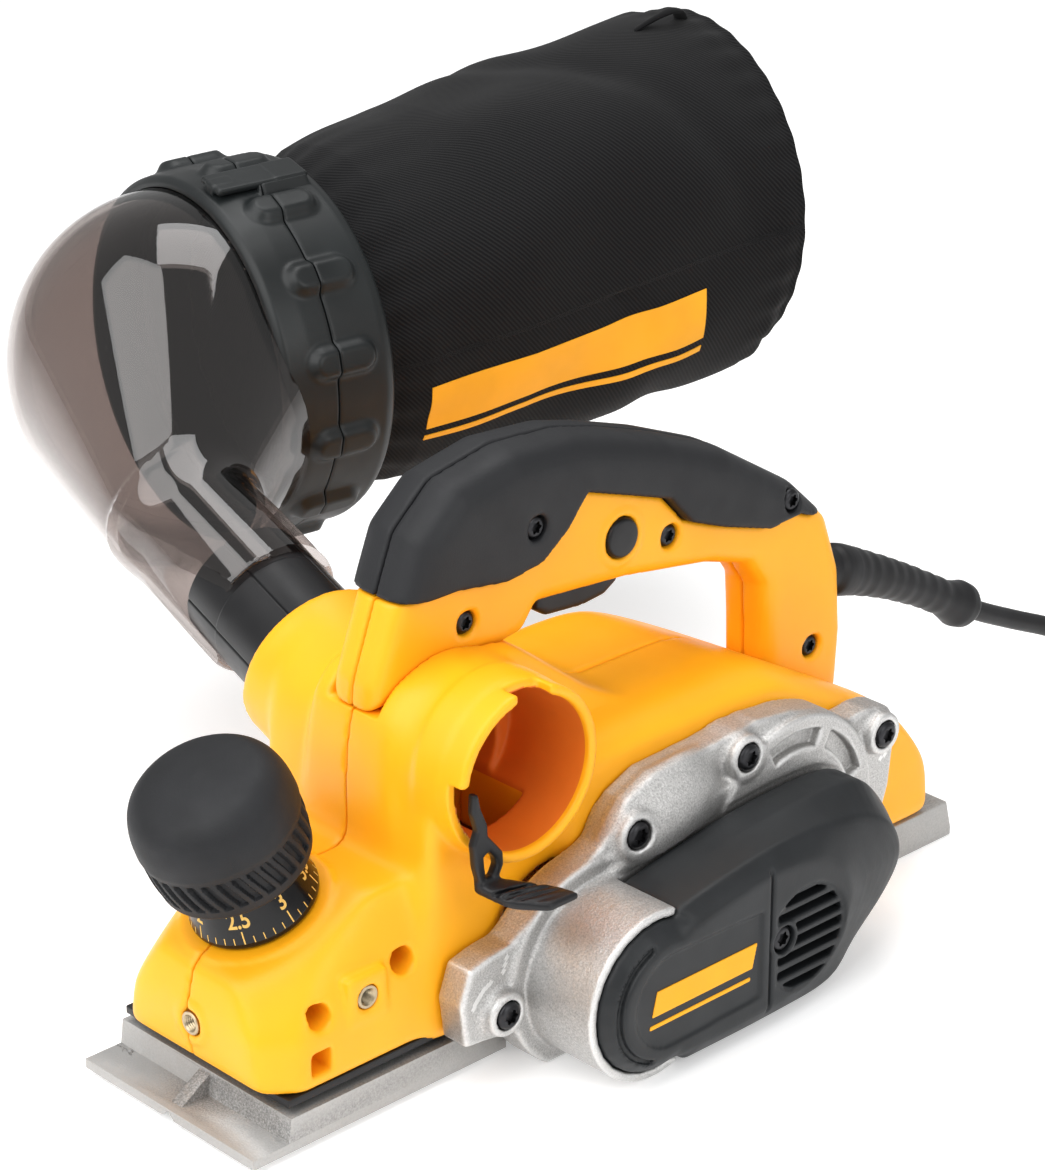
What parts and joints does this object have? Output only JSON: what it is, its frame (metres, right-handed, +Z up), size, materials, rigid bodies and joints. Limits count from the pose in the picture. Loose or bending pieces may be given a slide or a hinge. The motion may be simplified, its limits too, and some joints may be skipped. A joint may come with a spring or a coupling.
{
  "type": "electric hand planer",
  "caption": "Corded hand planer with a closed top handle, tilted depth knob, side belt cover, cast side frame, clear chip elbow and a cloth dust bag.",
  "frame": {"origin": "on the rear sole's plane, at the middle of the planing width, under the rear of the drum", "axes": "+Z up, -Y to the front shoe and depth knob, +X to the belt cover"},
  "size_m": [0.4232, 0.6119, 0.2301],
  "materials": {
    "cast_shoe": "machined, fine grain",
    "brass": "satin",
    "black_plastic": "fine grain",
    "steel": "turned",
    "dial_black": "satin with printed scale",
    "black_rubber": "fine grain",
    "drum_aluminium": "turned",
    "blade_steel": "ground",
    "belt_rubber": "matt",
    "winding_copper": "enamelled wire",
    "stator_steel": "laminated",
    "carbon": "pressed carbon",
    "bearing_steel": "ground",
    "yellow_plastic": "moulded, light sheen",
    "cast_aluminium": "as cast, grainy",
    "cover_plastic": "moulded, light sheen",
    "black_screw": "black oxide",
    "smoked_clear": "smoked clear plastic",
    "collar_plastic": "moulded",
    "bag_cloth": "twill",
    "cord_rubber": "matt"
  },
  "bodies": {
    "frame": {"rear_shoe": "cast_shoe", "front_guide": "black_plastic", "drive_belt": "belt_rubber", "stator": "stator_steel", "brush_front": "carbon", "brush_rear": "carbon", "drum_bearing_left": "bearing_steel", "drum_bearing_right": "bearing_steel", "motor_bearing_left": "bearing_steel", "motor_bearing_right": "bearing_steel", "housing_left": "yellow_plastic", "housing_right": "yellow_plastic", "side_insert": "brass", "front_insert": "brass", "belt_side_casting": "cast_aluminium", "belt_cover": "cover_plastic", "cover_screw": "black_screw", "handle_left": "yellow_plastic", "handle_right": "yellow_plastic", "grip_left": "black_rubber", "grip_right": "black_rubber", "switch_body": "black_plastic", "cord_guard": "cord_rubber", "power_cord": "cord_rubber", "cord_coil": "cord_rubber", "power_plug": "cord_rubber", "casting_screw_a": "black_screw", "casting_screw_b": "black_screw", "casting_screw_c": "black_screw", "casting_screw_d": "black_screw", "handle_screw_1": "black_screw", "handle_screw_2": "black_screw", "handle_screw_3": "black_screw", "handle_screw_4": "black_screw", "handle_screw_5": "black_screw"},
    "front_shoe": {"front_shoe": "cast_shoe", "depth_nut": "brass"},
    "depth_knob": {"depth_screw": "steel", "depth_dial": "dial_black", "knob_cap": "black_rubber"},
    "cutter": {"cutter_drum": "drum_aluminium", "cutter_blade_a": "blade_steel", "cutter_blade_b": "blade_steel", "blade_clamp_a": "steel", "blade_clamp_b": "steel", "drum_pulley": "drum_aluminium"},
    "rotor": {"motor_shaft": "steel", "armature": "winding_copper", "commutator": "winding_copper", "motor_fan": "black_plastic", "motor_pulley": "steel"},
    "trigger": {"trigger": "black_plastic"},
    "lock_button": {"lock_button": "black_plastic"},
    "port_lever": {"port_lever": "black_plastic"},
    "dust_set": {"dust_sleeve": "black_plastic", "dust_elbow": "smoked_clear", "collar_front": "collar_plastic", "collar_rear": "collar_plastic", "dust_bag": "bag_cloth"},
    "collar_latch": {"collar_latch": "black_plastic"}
  },
  "joints": [
    {"name": "shoe_slide", "type": "slide", "parent": "frame", "child": "front_shoe", "axis": [0, -0.3907, 0.9205], "range_m": [-0.00228, 0.00206]},
    {"name": "knob_turn", "type": "hinge", "parent": "frame", "child": "depth_knob", "pos_m": [0, -0.1225, 0.0635], "axis": [0, -0.3907, 0.9205], "range_deg": [-172, 190]},
    {"name": "drum_spin", "type": "hinge", "parent": "frame", "child": "cutter", "pos_m": [0, -0.032, 0.0295], "axis": [1, 0, 0], "continuous": true},
    {"name": "motor_spin", "type": "hinge", "parent": "frame", "child": "rotor", "pos_m": [0, 0.059, 0.048], "axis": [1, 0, 0], "continuous": true},
    {"name": "trigger_pull", "type": "hinge", "parent": "frame", "child": "trigger", "pos_m": [0, -0.007, 0.134], "axis": [1, 0, 0], "range_deg": [0, 8], "stiffness_Nm_per_rad": 0.6, "springref_deg": -11.46},
    {"name": "lock_press", "type": "slide", "parent": "frame", "child": "lock_button", "axis": [-1, 0, 0], "range_m": [0, 0.003], "stiffness_N_per_m": 300, "springref_m": -0.003},
    {"name": "lever_press", "type": "hinge", "parent": "frame", "child": "port_lever", "pos_m": [0.0503, -0.0775, 0.082], "axis": [0, 1, 0], "range_deg": [0, 12], "stiffness_Nm_per_rad": 0.05, "springref_deg": -8.59},
    {"name": "elbow_pull", "type": "slide", "parent": "frame", "child": "dust_set", "axis": [-0.954, 0.1171, 0.276], "range_m": [0, 0.04]},
    {"name": "latch_lift", "type": "hinge", "parent": "dust_set", "child": "collar_latch", "pos_m": [-0.19388, 0.0244, 0.21604], "axis": [0.9712, -0.1193, -0.2064], "range_deg": [0, 12], "stiffness_Nm_per_rad": 0.05, "springref_deg": -11.46}
  ],
  "couplings": [
    {"joint": "knob_turn", "follows": "shoe_slide", "rad_per_m": -1445.9},
    {"joint": "motor_spin", "follows": "drum_spin", "ratio": 1.5}
  ]
}
